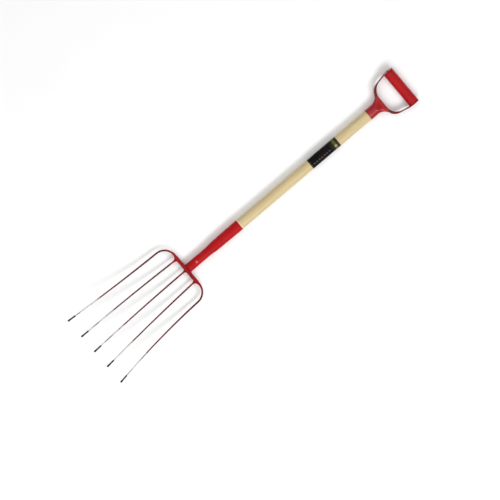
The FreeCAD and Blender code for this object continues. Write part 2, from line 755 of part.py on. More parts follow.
def set_down(parts):
    """How far to move every piece so that the box's bottom centre is at the origin."""
    box = FreeCAD.BoundBox()
    for shape in parts.values():
        box.add(shape.optimalBoundingBox())
    return Vector(-(box.XMin + box.XMax) / 2, 0, -box.ZMin)


def main():
    os.makedirs("parts", exist_ok=True)
    parts = make_parts()
    shift = set_down(parts)
    for name, shape in parts.items():
        shape.translate(shift)
        shape.exportStep("parts/" + name + ".step")
        print(name, shape.isValid(), len(shape.Solids), round(shape.Volume, 1))
    print("moved by", shift)


main()
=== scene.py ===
"""Looks of the five-tine farm fork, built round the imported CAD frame. Metres, in the CAD frame:
+X along the shaft towards the grip, +Y to the right, +Z up. The fork lies on a pale floor."""

import math

import bmesh
import bpy
from mathutils import Matrix, Vector, noise


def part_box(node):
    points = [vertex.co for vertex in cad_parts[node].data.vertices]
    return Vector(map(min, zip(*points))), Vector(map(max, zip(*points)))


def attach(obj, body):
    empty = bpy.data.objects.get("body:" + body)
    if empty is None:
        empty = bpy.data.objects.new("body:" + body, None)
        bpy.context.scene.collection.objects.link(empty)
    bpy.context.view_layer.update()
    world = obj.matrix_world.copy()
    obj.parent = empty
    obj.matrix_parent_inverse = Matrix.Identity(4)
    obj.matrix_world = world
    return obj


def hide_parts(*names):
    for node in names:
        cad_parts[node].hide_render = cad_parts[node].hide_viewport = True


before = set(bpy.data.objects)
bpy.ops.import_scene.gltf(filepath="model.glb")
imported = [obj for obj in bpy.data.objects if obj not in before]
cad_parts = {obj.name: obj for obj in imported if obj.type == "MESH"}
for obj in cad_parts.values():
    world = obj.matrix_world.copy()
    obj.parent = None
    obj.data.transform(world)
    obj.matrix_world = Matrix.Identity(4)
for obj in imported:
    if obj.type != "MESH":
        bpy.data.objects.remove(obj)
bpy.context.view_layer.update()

MM = 0.001
X, Y, Z = Vector((1, 0, 0)), Vector((0, 1, 0)), Vector((0, 0, 1))

# Sockets of Blender's Mix node, by number because their names repeat
MIX_SHARE, MIX_NUMBER_A, MIX_NUMBER_B, MIX_COLOUR_A, MIX_COLOUR_B = 0, 2, 3, 6, 7
MIX_NUMBER_RESULT, MIX_COLOUR_RESULT = 0, 2

# Places, read from the frame
BAR_LOW, BAR_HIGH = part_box("bridge")
BAR_HALF_WIDTH = 5.5 * MM
AXIS_Z = (BAR_LOW.z + BAR_HIGH.z) / 2
BRIDGE_X = BAR_LOW.x + BAR_HALF_WIDTH
BRIDGE_HALF = BAR_HIGH.y
SIDES = {"right": 1, "left": -1}
TINES = ("middle", "inner_right", "inner_left", "outer_right", "outer_left")

# Places along the shaft, from the middle of the bridge
SOCKET_START = 8.1 * MM
RIVET_PLACE = 38 * MM
SHOULDER_START, SHOULDER_END = 80.1 * MM, 114.1 * MM
SOCKET_MOUTH = 205.5 * MM
FERRULE_START = 703.5 * MM
FLARE_START = 728.8 * MM
CROTCH_NEAR, CROTCH_FAR = 792 * MM, 820 * MM

# Radii on the shaft's axis
NECK_RADIUS = 13.4 * MM
SHOULDER_EDGE_RADIUS = 15.6 * MM
MOUTH_RADIUS = 16.7 * MM
POLE_RADIUS = 16 * MM
SEAT_RADIUS = 15.75 * MM
SOCKET_WALL = 1.4 * MM
WOOD_FIT = 1.45 * MM

# Rivets: shank radius, head radius and head height
RIVET_SIZES = (2.2 * MM, 3.5 * MM, 1.9 * MM)
ROD_HEAD_HEIGHT = 2.3 * MM
ROD_SIZES = (3.5 * MM, 4.5 * MM, ROD_HEAD_HEIGHT)
SCREW_HEAD_RADIUS = 3.0 * MM
SCREW_RECESS_ARM = 0.42 * MM
SCREW_LENGTH_MM = 14.9

# Paint: where the dip line crosses the tines, and the forged red's run out from the roots
PAINT_END = 245 * MM
ROOT_RED_REACH, ROOT_RED_ACROSS, ROOT_RED_FADE = 11 * MM, 66 * MM, 30 * MM

# Parts of the printed film, as shares of its length
PRINT_START, PRINT_END, FINE_END = 0.095, 0.69, 0.62
BLOCK_START, BLOCK_MIDDLE, BLOCK_END = 0.835, 0.880, 0.925
BAR_CYCLES, FINE_CYCLES = 11.0, 26.0


def on_axis(x):
    """Point on the shaft's axis at a distance from the middle of the bridge."""
    return Vector((BRIDGE_X + x, 0, AXIS_Z))


def centre_of(node):
    low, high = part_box(node)
    return (low + high) / 2


# Meshes

def new_object(name, vertices, faces):
    mesh = bpy.data.meshes.new(name)
    mesh.from_pydata([tuple(v) for v in vertices], [], faces)
    mesh.validate()
    mesh.update()
    mesh.polygons.foreach_set("use_smooth", [True] * len(mesh.polygons))
    obj = bpy.data.objects.new(name, mesh)
    bpy.context.scene.collection.objects.link(obj)
    return obj


def outward(obj):
    """Faces of a closed mesh all turned outwards."""
    bm = bmesh.new()
    bm.from_mesh(obj.data)
    bmesh.ops.recalc_face_normals(bm, faces=bm.faces)
    bm.to_mesh(obj.data)
    bm.free()
    return obj


def oval(centre, across, up, half_width, half_depth, count, squareness=2.0):
    """Ring of points: an ellipse at squareness 2, nearer to a rounded rectangle above that."""
    points = []
    for i in range(count):
        turn = math.tau * i / count
        c, s = math.cos(turn), math.sin(turn)
        x = math.copysign(abs(c) ** (2 / squareness), c) * half_width
        y = math.copysign(abs(s) ** (2 / squareness), s) * half_depth
        points.append(centre + across * x + up * y)
    return points


def loft(name, rings, closed=False):
    """Skin over equal rings: shut at both ends with a fan, or joined last to first when closed."""
    count = len(rings[0])
    vertices = [p for ring in rings for p in ring]
    faces = []
    pairs = len(rings) if closed else len(rings) - 1
    for r in range(pairs):
        a, b = r * count, (r + 1) % len(rings) * count
        for i in range(count):
            j = (i + 1) % count
            faces.append((a + i, a + j, b + j, b + i))
    if not closed:
        for r in (0, len(rings) - 1):
            centre = sum(rings[r], Vector()) / count
            vertices.append(centre)
            hub = len(vertices) - 1
            for i in range(count):
                faces.append((hub, r * count + i, r * count + (i + 1) % count))
    return outward(new_object(name, vertices, faces))


def mirrored(points, side):
    """The same points on the right (1) or the left (-1) of the middle plane."""
    return [Vector((p.x, p.y * side, p.z)) for p in points]


def lathe(name, base, direction, profile, count, closed, shape):
    """Rings about a line from (distance, radius) pairs. shape(distance, turn) adds to the radius."""
    side = direction.orthogonal().normalized()
    if abs(direction.dot(Z)) < 0.9:
        side = (Z - direction * direction.dot(Z)).normalized()
    other = direction.cross(side)
    rings = []
    for along, radius in profile:
        ring = []
        for i in range(count):
            turn = math.tau * i / count
            r = radius + shape(along, turn)
            ring.append(base + direction * along + (side * math.cos(turn) + other * math.sin(turn)) * r)
        rings.append(ring)
    return loft(name, rings, closed)


def from_cad(name, nodes, voxel, smoothing, extras=(), uneven=0.0):
    """One skin over copies of CAD meshes and extra solids, with softened edges."""
    meshes = [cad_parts[n].data.copy() for n in nodes] + [o.data for o in extras]
    bm = bmesh.new()
    for mesh in meshes:
        bm.from_mesh(mesh)
    merged = bpy.data.meshes.new(name)
    bm.to_mesh(merged)
    bm.free()
    for extra in extras:
        bpy.data.objects.remove(extra)
    obj = bpy.data.objects.new(name, merged)
    bpy.context.scene.collection.objects.link(obj)
    merged.materials.clear()
    remesh = obj.modifiers.new("skin", "REMESH")
    remesh.mode = "VOXEL"
    remesh.voxel_size = voxel
    smooth = obj.modifiers.new("soften", "SMOOTH")
    smooth.factor = 0.5
    smooth.iterations = smoothing
    final = bpy.data.meshes.new_from_object(obj.evaluated_get(bpy.context.evaluated_depsgraph_get()))
    obj.modifiers.clear()
    obj.data = final
    final.polygons.foreach_set("use_smooth", [True] * len(final.polygons))
    if uneven:
        normals = [v.normal.copy() for v in final.vertices]
        for v, normal in zip(final.vertices, normals):
            v.co += normal * (noise.noise(v.co * 130) * 0.7 + noise.noise(v.co * 420) * 0.3) * uneven
        final.update()
    return obj


def finish_piece(obj, body, slot, material, *nodes):
    """Give a piece its material and its body, and hide the CAD nodes that it stands in for. The slot
    argument is not used.
    """
    obj.data.materials.clear()
    obj.data.materials.append(material)
    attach(obj, body)
    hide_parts(*nodes)


def smoothstep(low, high, value):
    share = min(max((value - low) / (high - low), 0.0), 1.0)
    return share * share * (3 - 2 * share)


# Materials

class Paint:
    """A material's node tree, with one short call for each kind of node."""

    def __init__(self, name):
        self.material = bpy.data.materials.new(name)
        self.material.use_nodes = True
        self.tree = self.material.node_tree
        self.shader = self.tree.nodes["Principled BSDF"]
        self.place = self.tree.nodes.new("ShaderNodeTexCoord").outputs["Object"]

    def node(self, kind, **settings):
        made = self.tree.nodes.new("ShaderNode" + kind)
        for key, value in settings.items():
            setattr(made, key, value)
        return made

    def put(self, socket, value):
        if isinstance(value, bpy.types.NodeSocket):
            self.tree.links.new(value, socket)
        elif value is not None:
            socket.default_value = value

    def math(self, operation, a, b=None):
        made = self.node("Math", operation=operation)
        for socket, value in zip(made.inputs, (a, b)):
            self.put(socket, value)
        return made.outputs[0]

    def stretched(self, scale):
        made = self.node("Mapping")
        self.put(made.inputs["Vector"], self.place)
        made.inputs["Scale"].default_value = scale
        return made.outputs[0]

    def noise(self, scale, detail=2.0, roughness=0.5, place=None):
        made = self.node("TexNoise")
        self.put(made.inputs["Vector"], place or self.place)
        made.inputs["Scale"].default_value = scale
        made.inputs["Detail"].default_value = detail
        made.inputs["Roughness"].default_value = roughness
        return made.outputs["Fac"]

    def range(self, value, low, high, to_low=0.0, to_high=1.0):
        """Smooth step: low and below gives to_low, high and above gives to_high."""
        made = self.node("MapRange", interpolation_type="SMOOTHSTEP")
        self.put(made.inputs["Value"], value)
        for key, number in (("From Min", low), ("From Max", high), ("To Min", to_low), ("To Max", to_high)):
            made.inputs[key].default_value = number
        return made.outputs[0]

    def mix(self, share, a, b):
        made = self.node("Mix", data_type="RGBA", blend_type="MIX")
        self.put(made.inputs[MIX_SHARE], share)
        for socket, value in ((made.inputs[MIX_COLOUR_A], a), (made.inputs[MIX_COLOUR_B], b)):
            self.put(socket, (*value, 1.0) if isinstance(value, tuple) else value)
        return made.outputs[MIX_COLOUR_RESULT]

    def patches(self, scale, detail, low, high, to_low=0.0, to_high=1.0):
        """Even noise, put through the same smooth step."""
        return self.range(self.noise(scale, detail), low, high, to_low, to_high)

    def grain(self, scale, detail, roughness):
        """Noise with its own scale along each axis."""
        return self.noise(1.0, detail, roughness, self.stretched(scale))

    def axes(self):
        made = self.node("SeparateXYZ")
        self.put(made.inputs[0], self.place)
        return made.outputs

    def pointed(self):
        return self.node("NewGeometry").outputs["Pointiness"]

    def set(self, **values):
        for key, value in values.items():
            self.put(self.shader.inputs[key.replace("_", " ").title().replace("Ior", "IOR")], value)

    def bump(self, height, depth, below=None):
        made = self.node("Bump")
        made.inputs["Distance"].default_value = depth
        self.put(made.inputs["Height"], height)
        self.put(made.inputs["Normal"], below)
        self.put(self.shader.inputs["Normal"], made.outputs[0])
        return made.outputs[0]


# Colours in linear light
WORN_RED = (0.50, 0.10, 0.06)
HEAD_RED, HEAD_RED_DEEP = (0.405, 0.0052, 0.0075), (0.345, 0.0040, 0.0060)
FORGED_RED_DEEP, FORGED_RED = (0.215, 0.0065, 0.0095), (0.30, 0.0070, 0.0100)
RIVET_HIGHLIGHT_RED = (0.50, 0.045, 0.038)
YOKE_RED, YOKE_RED_DEEP = (0.34, 0.0070, 0.0095), (0.275, 0.0050, 0.0075)
ARM_SHADE_RED_DEEP, ARM_SHADE_RED = (0.115, 0.0040, 0.0050), (0.165, 0.0055, 0.0065)
RIVET_RED, RIVET_RED_DEEP, RIVET_CROWN_HIGHLIGHT = (0.42, 0.0060, 0.0085), (0.34, 0.0045, 0.0065), (0.68, 0.14, 0.12)
TINE_RED_SHADED, TINE_RED_SHADED_DEEP, TINE_WORN = (0.125, 0.0060, 0.0078), (0.088, 0.0050, 0.0063), (0.28, 0.06, 0.045)
TINE_SCALE = (0.070, 0.0090, 0.0095)
STEEL_DARK, STEEL_BRIGHT, STEEL_PATCH = (0.34, 0.335, 0.33), (0.60, 0.59, 0.58), (0.13, 0.128, 0.125)
STEEL_TINT, STEEL_SPOT = (0.23, 0.15, 0.11), (0.16, 0.11, 0.085)
WOOD_EARLY, WOOD_EARLY_DARK, WOOD_LATE = (0.62, 0.505, 0.275), (0.54, 0.42, 0.215), (0.42, 0.295, 0.14)
WOOD_PINK, WOOD_OLIVE, WOOD_PORE = (0.58, 0.395, 0.245), (0.44, 0.405, 0.18), (0.32, 0.21, 0.10)
WOOD_FLECK, WOOD_MOUTH_HIGHLIGHT = (0.70, 0.61, 0.42), (0.86, 0.66, 0.46)
INK_DARK = (0.0030, 0.0016, 0.0016)
INK = (0.0075, 0.0038, 0.0036)
PRINT_HIGHLIGHT_GREY = (0.25, 0.235, 0.225)
PRINT_DIM = (0.16, 0.15, 0.14)
OLIVE_INK, OLIVE, OLIVE_DEEP = (0.020, 0.021, 0.0075), (0.115, 0.112, 0.042), (0.075, 0.080, 0.026)
HIGHLIGHT_CREAM = (0.42, 0.37, 0.25)
RING_OLIVE = (0.16, 0.14, 0.05)
RULE_BROWN = (0.20, 0.17, 0.09)
SCUFF_GREY = (0.20, 0.18, 0.17)
VINYL_DARK = (0.0040, 0.0040, 0.0042)
VINYL_BLACK = (0.0090, 0.0088, 0.0088)
VINYL_DUST = (0.035, 0.034, 0.032)
GRIP_RED_DEEP, GRIP_RED, GRIP_SCUFF = (0.345, 0.0060, 0.0090), (0.43, 0.0080, 0.0120), (0.50, 0.10, 0.09)
DRAWN_DARK, DRAWN_BRIGHT = (0.42, 0.42, 0.43), (0.66, 0.66, 0.67)
FLOOR_PALE, FLOOR_PALEST = (0.90, 0.90, 0.90), (0.92, 0.92, 0.92)


def enamel_colour(p, base, deep, worn_colour=WORN_RED):
    """Sprayed enamel: cloudy depth of colour, fine mottling and thin, lighter paint on the edges."""
    clouds = p.patches(30, 3, 0.25, 0.75)
    colour = p.mix(clouds, deep, base)
    mottle = p.patches(260, 2, 0.4, 0.7, 0.0, 0.35)
    colour = p.mix(mottle, colour, tuple(c * 1.25 + 0.001 for c in base))
    edge = p.range(p.pointed(), 0.515, 0.575)
    worn = p.math("MULTIPLY", edge, p.patches(420, 4, 0.44, 0.66))
    return p.mix(p.math("MULTIPLY", worn, 0.5), colour, worn_colour)


def enamel_surface(p, rough, coat, shine=0.08):
    """Orange peel, a slow unevenness and a thin clear coat."""
    p.set(roughness=p.patches(90, 4, 0.3, 0.75, rough - 0.06, rough + 0.1))
    peel = p.bump(p.noise(620, 1.5), 0.00005)
    p.bump(p.noise(75, 2), 0.00022, peel)
    p.set(coat_weight=coat, coat_roughness=0.07, specular_ior_level=shine)


def forged_red(p):
    """Cloudy, darker red of the forged bar and of the tines' roots."""
    return p.mix(p.patches(150, 3, 0.35, 0.7), FORGED_RED_DEEP, FORGED_RED)


def head_enamel(name):
    """Dip paint of the head: even red on the socket, darker over the forged bar, with a painted highlight
    round the rivet.
    """
    p = Paint(name)
    x, y, _ = p.axes()
    plain = enamel_colour(p, HEAD_RED, HEAD_RED_DEEP)
    on_bar = p.range(x, BRIDGE_X + 4 * MM, BRIDGE_X + 11 * MM, 1.0, 0.0)
    colour = p.mix(on_bar, plain, forged_red(p))
    # Painted highlight: a lighter red patch round the rivet that widens its highlight.
    from_rivet = p.math("SUBTRACT", x, BRIDGE_X + RIVET_PLACE)
    spread = p.math("SQRT", p.math("ADD", p.math("POWER", from_rivet, 2.0), p.math("POWER", y, 2.0)))
    highlight_near_rivet = p.range(spread, 3.4 * MM, 7.5 * MM, 0.8, 0.0)
    rivet_highlight = p.math("MULTIPLY", highlight_near_rivet, p.patches(300, 3, 0.3, 0.6, 0.5, 1.0))
    colour = p.mix(rivet_highlight, colour, RIVET_HIGHLIGHT_RED)
    p.set(base_color=colour)
    enamel_surface(p, rough=0.42, coat=0.04)
    return p.material


def yoke_enamel(name):
    """Glossy spray on the pressing, with painted shade darkening the strap's arms, less of it at the eyes.
    """
    p = Paint(name)
    x, y, _ = p.axes()
    plain = enamel_colour(p, YOKE_RED, YOKE_RED_DEEP)
    # Painted shade: a darker copy of the yoke's red laid over the arms.
    thin = p.mix(p.patches(110, 3, 0.35, 0.7), ARM_SHADE_RED_DEEP, ARM_SHADE_RED)
    far = p.range(p.math("ABSOLUTE", y), 20 * MM, 33 * MM)
    eyes = p.range(x, BRIDGE_X + CROTCH_NEAR, BRIDGE_X + CROTCH_FAR, 1.0, 0.25)
    p.set(base_color=p.mix(p.math("MULTIPLY", far, eyes), plain, thin))
    enamel_surface(p, rough=0.27, coat=0.5, shine=0.06)
    return p.material


def rivet_enamel(name):
    """Red enamel with a painted highlight on the top of the upper head."""
    p = Paint(name)
    _, _, z = p.axes()
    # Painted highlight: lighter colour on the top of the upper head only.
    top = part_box("socket_rivet")[1].z
    crown_highlight = p.range(z, top - 1.7 * MM, top - 0.4 * MM)
    crown_highlight = p.math("MULTIPLY", crown_highlight, p.patches(520, 3, 0.25, 0.6, 0.55, 1.0))
    plain = enamel_colour(p, RIVET_RED, RIVET_RED_DEEP)
    p.set(base_color=p.mix(crown_highlight, plain, RIVET_CROWN_HIGHLIGHT))
    enamel_surface(p, rough=0.3, coat=0.3)
    return p.material


def tine_finish(name):
    """Red enamel, darkened as painted shade, that stops at a ragged dip line, and bright ground steel beyond
    it.
    """
    p = Paint(name)
    x, y, _ = p.axes()
    reach = p.math("SUBTRACT", BRIDGE_X, x)
    ragged = p.range(p.noise(7, 1, place=p.stretched((0.01, 1, 0.01))), 0.2, 0.8, -13 * MM, 13 * MM)
    ragged = p.math("ADD", ragged, p.patches(240, 2, 0.2, 0.8, -1.6 * MM, 1.6 * MM))
    line = p.math("ADD", ragged, PAINT_END)
    past = p.math("SUBTRACT", reach, line)
    bare = p.range(past, 0.0, 1.2 * MM)
    scale = p.range(p.grain((45, 240, 240), 3, 0.55), 0.35, 0.68)
    # Painted shade: the tines' red is a much darker copy of the head's red, for thin rods seen from above.
    red = enamel_colour(p, TINE_RED_SHADED, TINE_RED_SHADED_DEEP, TINE_WORN)
    red = p.mix(p.math("MULTIPLY", scale, 0.5), red, TINE_SCALE)
    past_bar = p.math("SUBTRACT", reach, ROOT_RED_REACH)
    past_end = p.math("SUBTRACT", p.math("ABSOLUTE", y), ROOT_RED_ACROSS)
    past_root = p.math("MAXIMUM", past_bar, past_end)
    red = p.mix(p.range(past_root, 0.0, ROOT_RED_FADE), forged_red(p), red)
    grind = p.grain((70, 2600, 2600), 4, 0.65)
    steel = p.mix(p.range(grind, 0.3, 0.7), STEEL_DARK, STEEL_BRIGHT)
    patch = p.range(p.grain((34, 20, 20), 2, 0.5), 0.42, 0.62, 0.0, 0.8)
    steel = p.mix(patch, steel, STEEL_PATCH)
    tint = p.range(past, 0.5 * MM, 22 * MM, 0.6, 0.0)
    steel = p.mix(tint, steel, STEEL_TINT)
    spots = p.patches(900, 3, 0.64, 0.74, 0.0, 0.6)
    steel = p.mix(spots, steel, STEEL_SPOT)
    p.set(base_color=p.mix(bare, red, steel), metallic=bare, specular_ior_level=0.22)
    rough_paint = p.patches(90, 4, 0.3, 0.75, 0.36, 0.52)
    rough_steel = p.range(grind, 0.25, 0.75, 0.24, 0.46)
    mixed = p.node("Mix", data_type="FLOAT")
    p.put(mixed.inputs[MIX_SHARE], bare)
    p.put(mixed.inputs[MIX_NUMBER_A], rough_paint)
    p.put(mixed.inputs[MIX_NUMBER_B], rough_steel)
    p.set(roughness=mixed.outputs[MIX_NUMBER_RESULT])
    lip = p.bump(p.range(past, -0.3 * MM, 0.6 * MM, 1.0, 0.0), 0.00012)
    lines = p.bump(p.math("MULTIPLY", grind, bare), 0.00003, lip)
    p.bump(p.noise(120, 2), 0.00035, lines)
    return p.material


def pale_wood(name):
    """Straight-grained pale pole: growth-ring bands, fine open pores, faint pink and olive streaks."""
    p = Paint(name)
    long_drift = p.grain((2.2, 30, 30), 2, 0.4)
    x, y, z = p.axes()
    board = p.math("ADD", p.math("MULTIPLY", y, 0.82), p.math("MULTIPLY", z, 0.57))
    board = p.math("ADD", board, p.math("MULTIPLY", long_drift, 0.017))
    rings = p.math("FRACT", p.math("MULTIPLY", board, 310))
    late = p.math("POWER", rings, 3.2)
    early = p.mix(p.range(p.grain((9, 260, 260), 3, 0.5), 0.3, 0.7), WOOD_EARLY, WOOD_EARLY_DARK)
    colour = p.mix(p.math("MULTIPLY", late, 0.42), early, WOOD_LATE)
    pink = p.range(p.grain((3.0, 95, 95), 2, 0.5), 0.48, 0.72, 0.0, 0.34)
    colour = p.mix(pink, colour, WOOD_PINK)
    olive = p.range(p.noise(1.4, 2, 0.5, p.stretched((2.4, 120, 120))), 0.52, 0.75, 0.0, 0.26)
    colour = p.mix(olive, colour, WOOD_OLIVE)
    pores = p.range(p.grain((95, 3300, 3300), 3, 0.6), 0.57, 0.68)
    pores = p.math("MULTIPLY", pores, p.range(rings, 0.0, 0.35, 1.0, 0.25))
    colour = p.mix(p.math("MULTIPLY", pores, 0.34), colour, WOOD_PORE)
    flecks = p.range(p.grain((260, 900, 900), 2, 0.5), 0.68, 0.75, 0.0, 0.35)
    colour = p.mix(flecks, colour, WOOD_FLECK)
    mouth = BRIDGE_X + SOCKET_MOUTH
    # Painted highlight: a paler band of wood at the socket's mouth.
    ragged = p.math("ADD", x, p.patches(260, 2, 0.2, 0.8, -0.7 * MM, 0.7 * MM))
    bare = p.range(ragged, mouth + 2.6 * MM, mouth + 4.8 * MM, 0.6, 0.0)
    colour = p.mix(bare, colour, WOOD_MOUTH_HIGHLIGHT)
    p.set(base_color=colour, roughness=p.patches(60, 3, 0.3, 0.7, 0.40, 0.54))
    p.set(coat_weight=0.1, coat_roughness=0.2, specular_ior_level=0.35)
    grain = p.bump(p.math("SUBTRACT", 1.0, pores), 0.00003)
    p.bump(p.grain((12, 70, 70), 2, 0.5), 0.00005, grain)
    return p.material


def printed_band(name):
    """Dark printed film: a row of grey bars that is painted highlight on printed marks, a row of plain bars,
    a rule at each end, and an olive block with a ring whose cream disc is painted highlight.
    """
    low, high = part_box("shaft_label")
    p = Paint(name)
    x, y, z = p.axes()
    along = p.math("DIVIDE", p.math("SUBTRACT", x, low.x), high.x - low.x)
    turn = p.math("ARCTAN2", p.math("MULTIPLY", y, -1.0), p.math("SUBTRACT", z, AXIS_Z))

    def between(value, start, end, soft):
        rise = p.range(value, start - soft, start + soft)
        fall = p.range(value, end - soft, end + soft, 1.0, 0.0)
        return p.math("MULTIPLY", rise, fall)

    def both(*masks):
        result = masks[0]
        for mask in masks[1:]:
            result = p.math("MULTIPLY", result, mask)
        return result

    ink = p.mix(p.patches(30, 3, 0.3, 0.7), INK_DARK, INK)
    uneven = p.math("ADD", along, p.math("MULTIPLY", p.noise(70, 1), 0.05))
    cycle = p.math("FRACT", p.math("MULTIPLY", uneven, BAR_CYCLES))
    row = between(along, PRINT_START, PRINT_END, 0.004)
    # Painted highlight: grey bars along the line where the highlight falls on the film.
    bars = both(row, between(cycle, 0.30, 0.72, 0.07), between(turn, 0.20, 0.34, 0.02))
    colour = p.mix(p.math("MULTIPLY", bars, 0.5), ink, PRINT_HIGHLIGHT_GREY)
    cycle = p.math("FRACT", p.math("MULTIPLY", uneven, FINE_CYCLES))
    row = between(along, PRINT_START, FINE_END, 0.003)
    fine = both(row, between(cycle, 0.2, 0.7, 0.09), between(turn, 0.46, 0.52, 0.015))
    colour = p.mix(p.math("MULTIPLY", fine, 0.3), colour, PRINT_DIM)
    end_tint = p.range(along, 0.70, 0.80, 0.0, 0.8)
    colour = p.mix(end_tint, colour, OLIVE_INK)
    block = between(along, BLOCK_START, BLOCK_END, 0.006)
    olive = p.mix(p.patches(60, 2, 0.3, 0.7), OLIVE, OLIVE_DEEP)
    colour = p.mix(block, colour, olive)
    across = p.math("MULTIPLY", p.math("SUBTRACT", along, BLOCK_MIDDLE), 26.0)
    around = p.math("MULTIPLY", p.math("SUBTRACT", turn, 0.30), 4.2)
    spot = p.math("SQRT", p.math("ADD", p.math("POWER", across, 2.0), p.math("POWER", around, 2.0)))
    # Painted highlight: a cream disc on the olive block, on the highlight's line, round an olive middle.
    colour = p.mix(p.range(spot, 0.8, 0.95, 0.85, 0.0), colour, HIGHLIGHT_CREAM)
    colour = p.mix(p.range(spot, 0.30, 0.42, 0.6, 0.0), colour, RING_OLIVE)
    rules = p.math("MAXIMUM", between(along, 0.022, 0.034, 0.002), between(along, 0.966, 0.978, 0.002))
    colour = p.mix(p.math("MULTIPLY", rules, 0.35), colour, RULE_BROWN)
    scuff = p.range(p.grain((600, 120, 120), 4, 0.6), 0.65, 0.74, 0.0, 0.10)
    colour = p.mix(scuff, colour, SCUFF_GREY)
    p.set(base_color=colour, roughness=p.patches(140, 3, 0.3, 0.7, 0.34, 0.48))
    p.set(specular_ior_level=0.07)
    film = p.bump(p.noise(240, 2), 0.00006)
    p.bump(p.math("MAXIMUM", bars, block), 0.00002, film)
    return p.material


def black_vinyl(name):
    """Soft black vinyl: faint clouds, dust and fine rings across the sleeve."""
    p = Paint(name)
    cloud = p.patches(300, 3, 0.3, 0.7)
    colour = p.mix(cloud, VINYL_DARK, VINYL_BLACK)
    dust = p.patches(1400, 4, 0.6, 0.72, 0.0, 0.35)
    colour = p.mix(dust, colour, VINYL_DUST)
    p.set(base_color=colour, roughness=p.range(cloud, 0.0, 1.0, 0.42, 0.58), specular_ior_level=0.25)
    rings = p.bump(p.grain((1500, 90, 90), 2, 0.5), 0.00006)
    p.bump(p.noise(900, 2), 0.00004, rings)
    return p.material


def moulded_red(name):
    """Glossy moulded grip: even red, faint flow marks and fine handling scuffs."""
    p = Paint(name)
    flow = p.range(p.grain((60, 14, 60), 3, 0.5), 0.3, 0.7)
    colour = p.mix(flow, GRIP_RED_DEEP, GRIP_RED)
    scuff = p.range(p.grain((900, 150, 900), 5, 0.65), 0.64, 0.74, 0.0, 0.25)
    colour = p.mix(scuff, colour, GRIP_SCUFF)
    p.set(base_color=colour)
    rough = p.math("ADD", p.patches(110, 3, 0.3, 0.7, 0.24, 0.34), p.math("MULTIPLY", scuff, 0.5))
    p.set(roughness=rough, coat_weight=0.08, coat_roughness=0.16, specular_ior_level=0.12)
    fine = p.bump(p.noise(1500, 2), 0.00002)
    p.bump(p.noise(70, 2), 0.0003, fine)
    return p.material


def plain_steel(name):
    """Bright steel with fine lines along the grip's axis."""
    p = Paint(name)
    drawn = p.grain((2600, 60, 2600), 4, 0.6)
    p.set(base_color=p.mix(p.range(drawn, 0.3, 0.7), DRAWN_DARK, DRAWN_BRIGHT))
    p.set(metallic=1.0, roughness=p.range(drawn, 0.3, 0.7, 0.26, 0.42))
    p.bump(drawn, 0.00003)
    return p.material


HEAD = head_enamel("head_enamel")
YOKE = yoke_enamel("yoke_enamel")
RIVET = rivet_enamel("rivet_enamel")
TINE = tine_finish("tine_enamel_and_steel")
WOOD = pale_wood("pale_lacquered_wood")
PRINT = printed_band("printed_film")
VINYL = black_vinyl("black_vinyl")
GRIP = moulded_red("moulded_red")
STEEL = plain_steel("drawn_steel")


# Tines: the same dish and plan curves as the frame's

BEND_RADIUS = 1020 * MM
TINE_REACH = 357.5 * MM
TIP_STRAIGHT = 31 * MM
NECK_REACH = 245 * MM
NECK_DIAMETER = 4.1 * MM
TIP_DIAMETER = 2.6 * MM
INNER_OFFSET = 42.6 * MM
INNER_SPLAY = math.radians(2.5)
OUTER_SPLAY = math.radians(1.7)
SHOULDER_RADIUS = 38 * MM
SPREAD_RADIUS = 3570 * MM
OUTER_MIDDLE = 1.15 * MM
INNER_SIZE = (5.3 * MM, 6.4 * MM)
OUTER_SIZE = (5.8 * MM, 6.8 * MM)
POINT_LENGTH = 1.3 * MM
PATH_STEPS = 64
SHOULDER_STEPS = 24
SETTLING_ROUNDS = 20

CAP_LENGTH = 28.5 * MM
CAP_END_WALL = 4.2 * MM
CAP_CLEARANCE = 0.25 * MM
CAP_WALL = 0.87 * MM
CAP_SWELL = 0.5 * MM
CAP_BULB_LENGTH = 9 * MM
CAP_BULB_RISE = 4.6 * MM
CAP_ROUND_LENGTH = 4.4 * MM
CAP_SLEEVE_START = 1.6 * MM


def dish(x):
    """Height and slope of the tines' common curve."""
    root = math.sqrt(BEND_RADIUS ** 2 - x ** 2)
    return BEND_RADIUS - root, x / root


def bend_end():
    """Reach where the curve ends and the straight tip starts."""
    reach = TINE_REACH
    for _ in range(SETTLING_ROUNDS):
        reach = TINE_REACH - TIP_STRAIGHT / math.sqrt(1 + dish(reach)[1] ** 2)
    return reach


def on_dish(x, y, dx, dy):
    """Row point and direction above the plan point (from the bridge's middle) and plan direction."""
    height, slope = dish(x)
    return on_axis(x) + Vector((0, y, height)), Vector((dx, dy, slope * dx)).normalized()


def inner_path(offset, splay):
    """Plan points and directions of an inner tine, with its x counted from the bridge's middle."""
    slope = math.tan(splay)
    start, end = BAR_HALF_WIDTH, bend_end()
    reaches = [start + (end - start) * i / PATH_STEPS for i in range(PATH_STEPS + 1)]
    return [(-r, offset + slope * r, -1.0, slope) for r in reaches]


